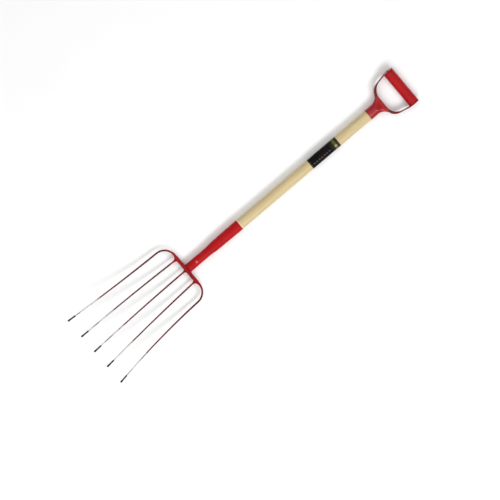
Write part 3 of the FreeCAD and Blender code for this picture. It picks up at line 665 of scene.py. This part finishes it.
def outer_path():
    """The same for an outer tine: rounded shoulder, then a wide curve."""
    path = []
    for i in range(SHOULDER_STEPS + 1):
        turn = (math.pi / 2 - OUTER_SPLAY) * i / SHOULDER_STEPS
        x = OUTER_MIDDLE - SHOULDER_RADIUS * (1 - math.cos(turn))
        path.append((x, BRIDGE_HALF + SHOULDER_RADIUS * math.sin(turn), -math.sin(turn), math.cos(turn)))
    x0, y0, dx, dy = path[-1]
    length = bend_end() + x0
    for _ in range(SETTLING_ROUNDS):
        swing = length / SPREAD_RADIUS
        length += x0 + SPREAD_RADIUS * (math.sin(swing) * dx + (1 - math.cos(swing)) * dy) + bend_end()
    for i in range(1, PATH_STEPS + 1):
        swing = length / SPREAD_RADIUS * i / PATH_STEPS
        run, drift = SPREAD_RADIUS * math.sin(swing), SPREAD_RADIUS * (1 - math.cos(swing))
        path.append((
            x0 + run * dx + drift * dy,
            y0 + run * dy - drift * dx,
            dx * math.cos(swing) + dy * math.sin(swing),
            dy * math.cos(swing) - dx * math.sin(swing),
        ))
    return path


def tine_size(reach, size):
    """Width and depth at a reach: tapered to the round neck, then to the tip."""
    if reach < NECK_REACH:
        share = max(reach, 0.0) / NECK_REACH
        width = size[0] + (NECK_DIAMETER - size[0]) * share
        ratio = size[1] / size[0]
        return width, width * (ratio + (1 - ratio) * share)
    share = (reach - NECK_REACH) / (TINE_REACH - NECK_REACH)
    width = NECK_DIAMETER + (TIP_DIAMETER - NECK_DIAMETER) * share
    return width, width


def tine_path(name):
    """Plan path of a tine and the side that it lies on."""
    side = -1 if name.endswith("left") else 1
    if name == "middle":
        return inner_path(0.0, 0.0), side
    if name.startswith("inner"):
        return inner_path(INNER_OFFSET, INNER_SPLAY), side
    return outer_path(), side


def make_tine(name):
    """Drawn-out bar with slight hammer waves; its straight tip ends in a blunt point."""
    path, side = tine_path(name)
    outer = name.startswith("outer")
    size = OUTER_SIZE if outer else INNER_SIZE
    stations = []
    for place in path:
        centre, direction = on_dish(*place)
        width, depth = tine_size(-place[0], size)
        stations.append((centre, direction, width, depth))
    if not outer:
        stations[0] = (stations[0][0], Vector((-1, 0, 0)), *stations[0][2:])
    start, direction = stations[-1][:2]
    neck = stations[-1][2]
    for i in range(1, 9):
        share = i / 8
        width = neck + (TIP_DIAMETER - neck) * share
        stations.append((start + direction * (TIP_STRAIGHT - POINT_LENGTH) * share, direction, width, width))
    for share in (0.35, 0.6, 0.8, 0.93, 1.0):
        width = TIP_DIAMETER * math.sqrt(1 - (share * 0.93) ** 2)
        centre = start + direction * (TIP_STRAIGHT - POINT_LENGTH + POINT_LENGTH * share)
        stations.append((centre, direction, width, width))
    rings = []
    for centre, direction, width, depth in stations:
        across = Z.cross(direction).normalized()
        up = direction.cross(across)
        wave = noise.noise(centre * 55) * 0.022
        lean = noise.noise(centre * 38 + Vector((5, 1, 3))) * 0.02
        ring = oval(centre, across, up, width / 2 * (1 + wave + lean), depth / 2 * (1 + wave - lean), 28)
        rings.append(mirrored(ring, side))
    finish_piece(loft("tine_" + name + "_bar", rings), "fork", "tine_paint", TINE, "tine_" + name)


def make_cap(name):
    """Dipped vinyl cap: rolled mouth, slack sleeve, bulb and a small moulding nib."""
    path, side = tine_path(name)
    start, direction = mirrored(on_dish(*path[-1]), side)
    neck = tine_size(bend_end(), INNER_SIZE)[0]
    bottom = TIP_STRAIGHT + CAP_CLEARANCE
    end = bottom + CAP_END_WALL
    mouth = end - CAP_LENGTH
    bore, deep = neck / 2 + CAP_CLEARANCE, TIP_DIAMETER / 2 + CAP_CLEARANCE
    rim = bore + CAP_WALL
    bulb = rim + CAP_SWELL
    sleeve_start, bulb_start = mouth + CAP_SLEEVE_START, end - CAP_BULB_LENGTH
    profile = [(mouth + 0.35 * MM, bore), (mouth, bore + 0.3 * MM), (mouth + 0.02 * MM, rim - 0.28 * MM),
               (mouth + 0.3 * MM, rim), (mouth + 0.9 * MM, rim), (sleeve_start, rim - 0.12 * MM)]
    for i in range(1, 13):
        share = i / 12
        place = sleeve_start + (bulb_start - sleeve_start) * share
        profile.append((place, rim - (0.12 + 0.16 * math.sin(share * math.pi)) * MM))
    for i in range(1, 9):
        share = i / 8
        rise = (bulb - rim + 0.1 * MM) * smoothstep(0, 1, share)
        profile.append((bulb_start + CAP_BULB_RISE * share, rim - 0.12 * MM + rise))
    reach = CAP_ROUND_LENGTH
    for i in range(1, 12):
        bearing = math.pi / 2 * i / 12
        place = end - reach + (reach - 0.25 * MM) * math.sin(bearing)
        profile.append((place, bulb * math.cos(bearing) ** 0.75))
    profile += [(end - 0.2 * MM, 0.5 * MM), (end - 0.02 * MM, 0.42 * MM), (end, 0.12 * MM)]
    profile += [(bottom + 0.3 * MM, 0.1 * MM), (bottom, deep * 0.8), (bottom - 0.5 * MM, deep)]

    def slack(along, turn):
        spot = Vector((along * 260, math.cos(turn) * 0.9, math.sin(turn) * 0.9 + side * 3))
        return noise.noise(spot) * 0.05 * MM

    obj = lathe("cap_" + name + "_sleeve", start, direction, profile, count=40, closed=True, shape=slack)
    finish_piece(obj, "tip_cap_" + name, "cap_black", VINYL, "tip_cap_" + name)


# Bridge and socket

BRIDGE_VOXEL, BRIDGE_UNEVEN = 0.40 * MM, 0.13 * MM
ROOT_START = -1.5 * MM
ROOT_RINGS = 15
OUTER_ROOT_SWELL, OUTER_ROOT_RUN = (1.6 * MM, 2.9 * MM), 13 * MM
INNER_ROOT_SWELL, INNER_ROOT_RUN = (7.0 * MM, 2.0 * MM), 9.5 * MM
WELD_HALF_LENGTH = 12.2 * MM
WELD_RINGS = 61


def make_bridge():
    """Bar with weld fillets round the inner roots and stubs that run out into the outer tines."""
    extras = []
    for name in TINES:
        path, side = tine_path(name)
        outer = name.startswith("outer")
        size = OUTER_SIZE if outer else INNER_SIZE
        swell = OUTER_ROOT_SWELL if outer else INNER_ROOT_SWELL
        run = OUTER_ROOT_RUN if outer else INNER_ROOT_RUN
        rings = []
        for i in range(ROOT_RINGS):
            travelled = ROOT_START + (run - ROOT_START) * i / (ROOT_RINGS - 1)
            share = max(travelled, 0.0) / run
            if outer:
                turn = share * run / SHOULDER_RADIUS
                place = (OUTER_MIDDLE - SHOULDER_RADIUS * (1 - math.cos(turn)),
                         BRIDGE_HALF + SHOULDER_RADIUS * math.sin(turn) + min(travelled, 0.0),
                         -math.sin(turn), math.cos(turn))
            else:
                slope = path[0][3]
                place = (path[0][0] - travelled, path[0][1] + slope * travelled, -1.0, slope)
            centre, direction = on_dish(*place)
            width, depth = tine_size(-place[0], size)
            fade = (1 - share) ** (1.3 if outer else 2.4)
            across = Z.cross(direction).normalized()
            ring = oval(centre, across, direction.cross(across), (width + swell[0] * fade) / 2 + 0.02 * MM,
                        (depth + swell[1] * fade) / 2 + 0.02 * MM, 32, 2.0 + 1.2 * fade)
            rings.append(mirrored(ring, side))
        extras.append(loft("root_" + name, rings))
    for level in (-1, 1):
        rings = []
        for i in range(WELD_RINGS):
            across = WELD_HALF_LENGTH * (2 * i / (WELD_RINGS - 1) - 1)
            fade = min(1.0, (WELD_HALF_LENGTH + 0.7 * MM - abs(across)) / (2.2 * MM))
            ripple = 0.28 * math.sin(i * 1.55) + 0.25 * noise.noise(Vector((i * 0.21, level, 0)))
            swell = (1.75 + ripple) * MM * fade
            centre = on_axis(BAR_HALF_WIDTH - 0.2 * MM) + Y * across + Z * level * (4.95 * MM)
            rings.append(oval(centre, X, Z, swell, swell * 0.95, 20))
        extras.append(loft("neck_weld", rings))
    obj = from_cad("bridge_forging", ["bridge"], BRIDGE_VOXEL, smoothing=5, extras=extras,
                   uneven=BRIDGE_UNEVEN)
    finish_piece(obj, "fork", "head_paint", HEAD, "bridge")


def make_neck_plug():
    """Collar between bar and socket, with a lumpy weld round it."""
    low = BAR_HALF_WIDTH
    profile = [(low, 2 * MM), (low, NECK_RADIUS - 1.4 * MM), (low + 0.4 * MM, NECK_RADIUS - 0.4 * MM)]
    for i in range(9):
        bearing = math.pi * i / 8
        bead = NECK_RADIUS - 0.25 * MM + 0.42 * MM * math.sin(bearing)
        profile.append((low + 0.9 * MM + 1.5 * MM * i / 8, bead))
    profile += [(low + 2.6 * MM, NECK_RADIUS - 1.5 * MM), (low + 14.6 * MM, NECK_RADIUS - 1.5 * MM),
                (low + 14.6 * MM, 2 * MM)]

    def ripple(along, turn):
        rise = smoothstep(low + 0.6 * MM, low + 1.2 * MM, along)
        fall = 1 - smoothstep(low + 2.2 * MM, low + 2.5 * MM, along)
        lumps = noise.noise(Vector((math.cos(turn), math.sin(turn), 0)) * 3) * 0.12
        return (math.sin(turn * 44) * 0.06 + lumps) * MM * rise * fall

    obj = lathe("neck_collar", on_axis(0), X, profile, count=180, closed=False, shape=ripple)
    finish_piece(obj, "fork", "head_paint", HEAD, "neck_plug")


def socket_radius(x):
    """Straight neck, a rounded shoulder and a slight taper out to the mouth."""
    start, end, mouth = SHOULDER_START, SHOULDER_END, SOCKET_MOUTH
    shoulder, rim = SHOULDER_EDGE_RADIUS, MOUTH_RADIUS
    if x < start:
        return NECK_RADIUS
    if x > end:
        return shoulder + (rim - shoulder) * (x - end) / (mouth - end)
    share = (x - start) / (end - start)
    slope = (rim - shoulder) / (mouth - end) * (end - start)
    rise = shoulder - NECK_RADIUS
    return NECK_RADIUS + rise * share ** 2 * (3 - 2 * share) + slope * share ** 2 * (share - 1)


def make_socket():
    """Rolled sheet: butt seam underneath, a soft mouth edge and a shallow seat round the rivet."""
    start, mouth, wall = SOCKET_START, SOCKET_MOUTH, SOCKET_WALL
    profile = [(start, NECK_RADIUS - wall), (start, NECK_RADIUS - 0.3 * MM), (start + 0.3 * MM, NECK_RADIUS)]
    steps = 150
    for i in range(1, steps):
        x = start + 0.3 * MM + (mouth - 0.4 * MM - start - 0.3 * MM) * i / steps
        profile.append((x, socket_radius(x)))
    rim = socket_radius(mouth)
    profile += [(mouth - 0.4 * MM, rim), (mouth - 0.12 * MM, rim - 0.12 * MM), (mouth, rim - 0.4 * MM)]
    profile += [(mouth, rim - 0.62 * MM), (mouth - 1 * MM, rim - wall)]
    profile += [(mouth - 20 * MM, rim - wall - 0.2 * MM)]

    def pressed(x, turn):
        away = abs(turn - math.pi) * socket_radius(x)
        seam = -0.35 * MM * math.exp(-(away / (0.5 * MM)) ** 2)
        seam += 0.10 * MM * math.exp(-((away - 1.6 * MM) / (0.9 * MM)) ** 2)
        seat = 0.0
        for bearing in (0.0, math.pi):
            swing = abs((turn - bearing + math.pi) % math.tau - math.pi) * NECK_RADIUS
            spread = math.hypot(x - RIVET_PLACE, swing)
            seat -= 0.22 * MM * math.exp(-(spread / (5.2 * MM)) ** 2)
        ripple = noise.noise(Vector((x * 22, math.cos(turn) * 0.7, math.sin(turn) * 0.7))) * 0.05 * MM
        on_skin = 1.0 if x < mouth - 0.5 * MM else 0.0
        return (seam + seat + ripple) * on_skin

    obj = lathe("socket_sheet", on_axis(0), X, profile, count=160, closed=True, shape=pressed)
    finish_piece(obj, "fork", "head_paint", HEAD, "socket")


def hammered_pin(name, centre, direction, half, sizes, seed, sink=0.0):
    """Rivet whose two domed heads show hammer flats; sizes are shank and head radius, and head height."""
    shank, head, height = sizes
    profile = []
    for end in (-1, 1):
        dome = []
        for i in range(13):
            bearing = math.pi / 2 * i / 12
            rise = (height + sink) * math.sin(bearing)
            dome.append((end * (half - sink + rise), max(head * math.cos(bearing) ** 0.8, 0.05 * MM)))
        stem = [(end * (half - sink), shank)]
        profile += list(reversed(dome)) + stem if end < 0 else stem + dome

    def flats(along, turn):
        if abs(along) < half - sink + 0.1 * MM:
            return 0.0
        spot = Vector((math.cos(turn) * 1.6, math.sin(turn) * 1.6, along * 500 + seed))
        return min(0.0, noise.noise(spot)) * head * 0.16

    return lathe(name, centre, direction, profile, count=56, closed=False, shape=flats)


def make_rivets():
    place = on_axis(RIVET_PLACE)
    rivet = hammered_pin("socket_rivet_peened", place, Z, NECK_RADIUS, RIVET_SIZES, seed=1, sink=0.3 * MM)
    finish_piece(rivet, "fork", "head_paint", RIVET, "socket_rivet")
    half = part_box("grip_rod")[1].y - ROD_HEAD_HEIGHT
    rod = hammered_pin("grip_rod_peened", centre_of("grip_rod"), Y, half, ROD_SIZES, seed=4)
    finish_piece(rod, "fork", "yoke_paint", YOKE, "grip_rod")


# Shaft

def make_shaft():
    """Turned pole with faint sanding waves, its ends shaped as in the frame."""
    low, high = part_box("shaft")
    start, end = low.x - BRIDGE_X, high.x - BRIDGE_X
    mouth, ferrule = SOCKET_MOUTH, FERRULE_START
    pole, seat, fit = POLE_RADIUS, SEAT_RADIUS, WOOD_FIT
    profile = [(start, 0.5 * MM), (start, socket_radius(start) - fit - 0.6 * MM)]
    for i in range(30):
        x = start + 0.6 * MM + (mouth - start - 0.6 * MM) * i / 30
        profile.append((x, socket_radius(x) - fit))
    profile += [(mouth - 0.4 * MM, socket_radius(mouth) - fit), (mouth - 0.1 * MM, pole - 0.35 * MM)]
    profile += [(mouth + 0.25 * MM, pole)]
    for i in range(1, 160):
        profile.append((mouth + (ferrule - mouth) * i / 160, pole))
    profile += [(ferrule - 0.2 * MM, pole), (ferrule + 0.1 * MM, pole - 0.15 * MM)]
    profile += [(ferrule + 0.3 * MM, seat), (FLARE_START, seat)]
    profile += [(end - 0.4 * MM, 9.4 * MM), (end, 8.9 * MM), (end, 0.5 * MM)]

    def sanding(x, turn):
        if not mouth + 1 * MM < x < ferrule - 1 * MM:
            return 0.0
        flat = noise.noise(Vector((x * 9, math.cos(turn) * 1.1, math.sin(turn) * 1.1))) * 0.07 * MM
        return min(flat, 0.0)

    obj = lathe("shaft_pole", on_axis(0), X, profile, count=120, closed=False, shape=sanding)
    finish_piece(obj, "fork", "shaft_wood", WOOD, "shaft")


def make_label():
    """Wrapped film with one overlap underneath and slightly lifted edges."""
    low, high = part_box("shaft_label")
    radius, film = POLE_RADIUS, 0.25 * MM
    start, end = low.x - BRIDGE_X, high.x - BRIDGE_X
    under, edge, lifted = radius - 0.1 * MM, radius + film * 0.55, radius + film * 0.72
    profile = [(start, under), (start, edge), (start + 0.25 * MM, lifted)]
    for i in range(1, 60):
        profile.append((start + (end - start) * i / 60, radius + film * 0.62))
    profile += [(end - 0.25 * MM, lifted), (end, edge), (end, under)]

    def overlap(x, turn):
        lap = film * 0.3 * smoothstep(3.0, 3.02, turn) * (1 - smoothstep(3.42, 3.44, turn))
        spot = Vector((x * 90, math.cos(turn) * 3, math.sin(turn) * 3))
        bubble = max(0.0, noise.noise(spot) - 0.25) * film * 0.25
        return lap + bubble if start + 0.1 * MM < x < end - 0.1 * MM else 0.0

    obj = lathe("shaft_label_film", on_axis(0), X, profile, count=160, closed=True, shape=overlap)
    finish_piece(obj, "fork", "label_print", PRINT, "shaft_label")


# Yoke and grip

YOKE_VOXEL = 0.45 * MM
SEAM_WIDTH, SEAM_DEPTH_MM = 0.55 * MM, 0.26
SQUARE_ON = 0.999


def make_yoke():
    """Two glossy pressings: one soft skin over both halves, parted at the middle with a rolled seam."""
    whole = from_cad("yoke_skin", ["yoke_right", "yoke_left"], YOKE_VOXEL, smoothing=6)
    for label, side in SIDES.items():
        bm = bmesh.new()
        bm.from_mesh(whole.data)
        bmesh.ops.bisect_plane(bm, geom=bm.verts[:] + bm.edges[:] + bm.faces[:], dist=1e-7,
                               plane_co=(0, 0, 0), plane_no=(0, -side, 0), clear_outer=True)
        rim = [e for e in bm.edges if e.is_boundary]
        bmesh.ops.triangle_fill(bm, edges=rim, use_beauty=False, normal=(0, -side, 0))
        bm.normal_update()
        on_seam = {f for f in bm.faces if all(abs(v.co.y) < 1e-6 for v in f.verts)}
        flat = {f for f in on_seam if abs(f.normal.y) > SQUARE_ON}
        for v in bm.verts:
            away = abs(v.co.y) / SEAM_WIDTH
            if away < 3:
                skin = [f.normal for f in v.link_faces if f not in flat]
                outwards = sum(skin, Vector()) if skin else Vector()
                outwards.y = 0
                if outwards.length > 0.1:
                    v.co -= outwards.normalized() * SEAM_DEPTH_MM * MM * math.exp(-away * away)
        mesh = bpy.data.meshes.new("yoke_" + label)
        bm.to_mesh(mesh)
        bm.free()
        mesh.polygons.foreach_set("use_smooth", [abs(f.normal.y) < SQUARE_ON for f in mesh.polygons])
        obj = bpy.data.objects.new("yoke_" + label + "_pressing", mesh)
        bpy.context.scene.collection.objects.link(obj)
        finish_piece(obj, "fork", "yoke_paint", YOKE, "yoke_" + label)
    bpy.data.objects.remove(whole)


def make_screws():
    """Two countersunk heads with a cross recess, painted over."""
    low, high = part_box("ferrule_screws")
    centre = (low + high) / 2
    head, arm = SCREW_HEAD_RADIUS, SCREW_RECESS_ARM
    rings, turns = 14, 64
    parts = []
    for side in SIDES.values():
        face = Vector((centre.x, high.y * side, centre.z))
        inward = Vector((0, -side, 0))
        vertices, faces = [], []
        for ring in range(rings + 1):
            radius = head * ring / rings
            for i in range(turns):
                turn = math.tau * i / turns
                u, v = radius * math.cos(turn), radius * math.sin(turn)
                inside = max(1 - smoothstep(arm * 0.7, arm * 1.3, abs(place)) for place in (u, v))
                inside *= 1 - smoothstep(1.7 * MM, 2.1 * MM, radius)
                depth = 0.9 * MM * inside + 0.12 * MM * smoothstep(2.6 * MM, 3.0 * MM, radius)
                vertices.append(face + inward * depth + Vector((u, 0, v)))
        for depth, radius in ((0.35, 2.9), (1.5, 1.5), (9.0, 1.5), (SCREW_LENGTH_MM, 0.2)):
            for i in range(turns):
                turn = math.tau * i / turns
                outwards = Vector((math.cos(turn), 0, math.sin(turn)))
                vertices.append(face + inward * depth * MM + outwards * radius * MM)
        for ring in range(rings + 4):
            a, b = ring * turns, (ring + 1) * turns
            faces += [(a + i, a + (i + 1) % turns, b + (i + 1) % turns, b + i) for i in range(turns)]
        vertices.append(face + inward * SCREW_LENGTH_MM * MM)
        tip = len(vertices) - 1
        last = (rings + 4) * turns
        faces += [(tip, last + i, last + (i + 1) % turns) for i in range(turns)]
        parts.append((vertices, faces))
    vertices = parts[0][0] + parts[1][0]
    shift = len(parts[0][0])
    faces = parts[0][1] + [tuple(i + shift for i in f) for f in parts[1][1]]
    obj = new_object("ferrule_screw_heads", vertices, faces)
    bm = bmesh.new()
    bm.from_mesh(obj.data)
    bmesh.ops.remove_doubles(bm, verts=bm.verts, dist=1e-7)
    bmesh.ops.recalc_face_normals(bm, faces=bm.faces)
    bm.to_mesh(obj.data)
    bm.free()
    finish_piece(obj, "fork", "yoke_paint", YOKE, "ferrule_screws")


def make_grip():
    """Moulded barrel: softly rounded ends, a shallow waist groove near each and a faint parting line."""
    low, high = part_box("grip_barrel")
    centre = (low + high) / 2
    half = (high.y - low.y) / 2
    outer, inner, edge = (high.x - low.x) / 2, 13.3 * MM, 1.8 * MM
    profile = [(-half + 1 * MM, inner), (-half, inner + 0.5 * MM), (-half, outer - edge)]
    for i in range(1, 9):
        bearing = math.pi / 2 * i / 8
        profile.append((-half + edge * (1 - math.cos(bearing)), outer - edge * (1 - math.sin(bearing))))
    steps = 90
    for i in range(1, steps):
        profile.append((-half + edge + (half - edge) * 2 * i / steps, outer))
    for i in range(9):
        bearing = math.pi / 2 * i / 8
        profile.append((half - edge * (1 - math.sin(bearing)), outer - edge * (1 - math.cos(bearing))))
    profile += [(half, inner + 0.5 * MM), (half - 1 * MM, inner)]

    def moulding(y, turn):
        if abs(y) > half - edge - 0.5 * MM:
            return 0.0
        groove = -0.28 * MM * math.exp(-((abs(y) - half + 6.5 * MM) / (0.7 * MM)) ** 2)
        swing = min(abs(turn - math.pi / 2), abs(turn - 3 * math.pi / 2)) * outer
        parting = -0.05 * MM * math.exp(-(swing / (0.35 * MM)) ** 2)
        sink = min(0.0, noise.noise(Vector((y * 30, math.cos(turn), math.sin(turn))))) * 0.12 * MM
        return groove + parting + sink

    barrel = lathe("grip_barrel_moulding", centre, Y, profile, count=128, closed=True, shape=moulding)
    finish_piece(barrel, "grip", "grip_red", GRIP, "grip_barrel")
    for node, material in (("grip_plugs", GRIP), ("grip_spacer", STEEL)):
        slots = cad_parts[node].data.materials
        slots.clear()
        slots.append(material)


for tine_name in TINES:
    make_tine(tine_name)
    make_cap(tine_name)
make_bridge()
make_neck_plug()
make_socket()
make_rivets()
make_shaft()
make_label()
make_yoke()
make_screws()
make_grip()


# Stage, lights and camera

# Each light's direction, distance, size and power
LIGHTS = {
    "key": ((0.0, -0.80, 1.0), 2.6, (3.2, 0.85), 45),
    "fill": ((-0.1, 0.62, 1.0), 2.8, (3.4, 3.0), 14),
    "top": ((0.0, 0.05, 1.0), 3.0, (5.2, 5.2), 48),
}
FLOOR_HALF = 14.0
WORLD_STRENGTH = 0.42
CAMERA_CLIMB, CAMERA_TILT = math.radians(40.4), math.radians(7.5)
CAMERA_DISTANCE = 12.0
PICTURE_WIDTH = 1.475
SENSOR_WIDTH = 36.0
AIM_ALONG, AIM_ACROSS = 0.1804, 0.0770


def make_floor():
    corners = [(x * FLOOR_HALF, y * FLOOR_HALF, 0) for x, y in ((-1, -1), (1, -1), (1, 1), (-1, 1))]
    floor = new_object("floor", corners, [(0, 1, 2, 3)])
    p = Paint("pale_floor")
    colour = p.mix(p.patches(3, 2, 0.3, 0.7), FLOOR_PALE, FLOOR_PALEST)
    p.set(base_color=colour, roughness=0.7)
    p.bump(p.noise(200, 2), 0.00005)
    floor.data.materials.append(p.material)


def area_light(name, direction, distance, size, power):
    """Rectangular light that faces the middle of the fork."""
    data = bpy.data.lights.new(name, "AREA")
    data.shape = "RECTANGLE"
    data.size, data.size_y = size
    data.energy = power
    lamp = bpy.data.objects.new(name, data)
    bpy.context.scene.collection.objects.link(lamp)
    direction = Vector(direction).normalized()
    lamp.location = direction * distance
    lamp.rotation_euler = direction.to_track_quat("Z", "Y").to_euler()


def make_lights():
    world = bpy.context.scene.world or bpy.data.worlds.new("studio")
    bpy.context.scene.world = world
    world.use_nodes = True
    background = world.node_tree.nodes["Background"]
    background.inputs["Color"].default_value = (1, 1, 1, 1)
    background.inputs["Strength"].default_value = WORLD_STRENGTH
    for name, settings in LIGHTS.items():
        area_light(name, *settings)


def make_camera():
    """Near-overhead view from far off, rolled so that the shaft climbs to the right."""
    climb, tilt = CAMERA_CLIMB, CAMERA_TILT
    view = Vector((0, math.sin(tilt), math.cos(tilt)))
    side = Vector((0, math.cos(tilt), -math.sin(tilt)))
    right = X * math.cos(climb) - side * math.sin(climb)
    up = X * math.sin(climb) + side * math.cos(climb)
    aim = on_axis(AIM_ALONG) - side * AIM_ACROSS
    data = bpy.data.cameras.new("camera")
    data.sensor_width = SENSOR_WIDTH
    data.lens = SENSOR_WIDTH * CAMERA_DISTANCE / PICTURE_WIDTH
    data.clip_end = 100.0
    camera = bpy.data.objects.new("camera", data)
    bpy.context.scene.collection.objects.link(camera)
    place = aim + view * CAMERA_DISTANCE
    camera.matrix_world = Matrix((
        (right.x, up.x, view.x, place.x),
        (right.y, up.y, view.y, place.y),
        (right.z, up.z, view.z, place.z),
        (0, 0, 0, 1),
    ))
    bpy.context.scene.camera = camera


make_floor()
make_lights()
make_camera()
bpy.context.scene.view_settings.view_transform = "Standard"
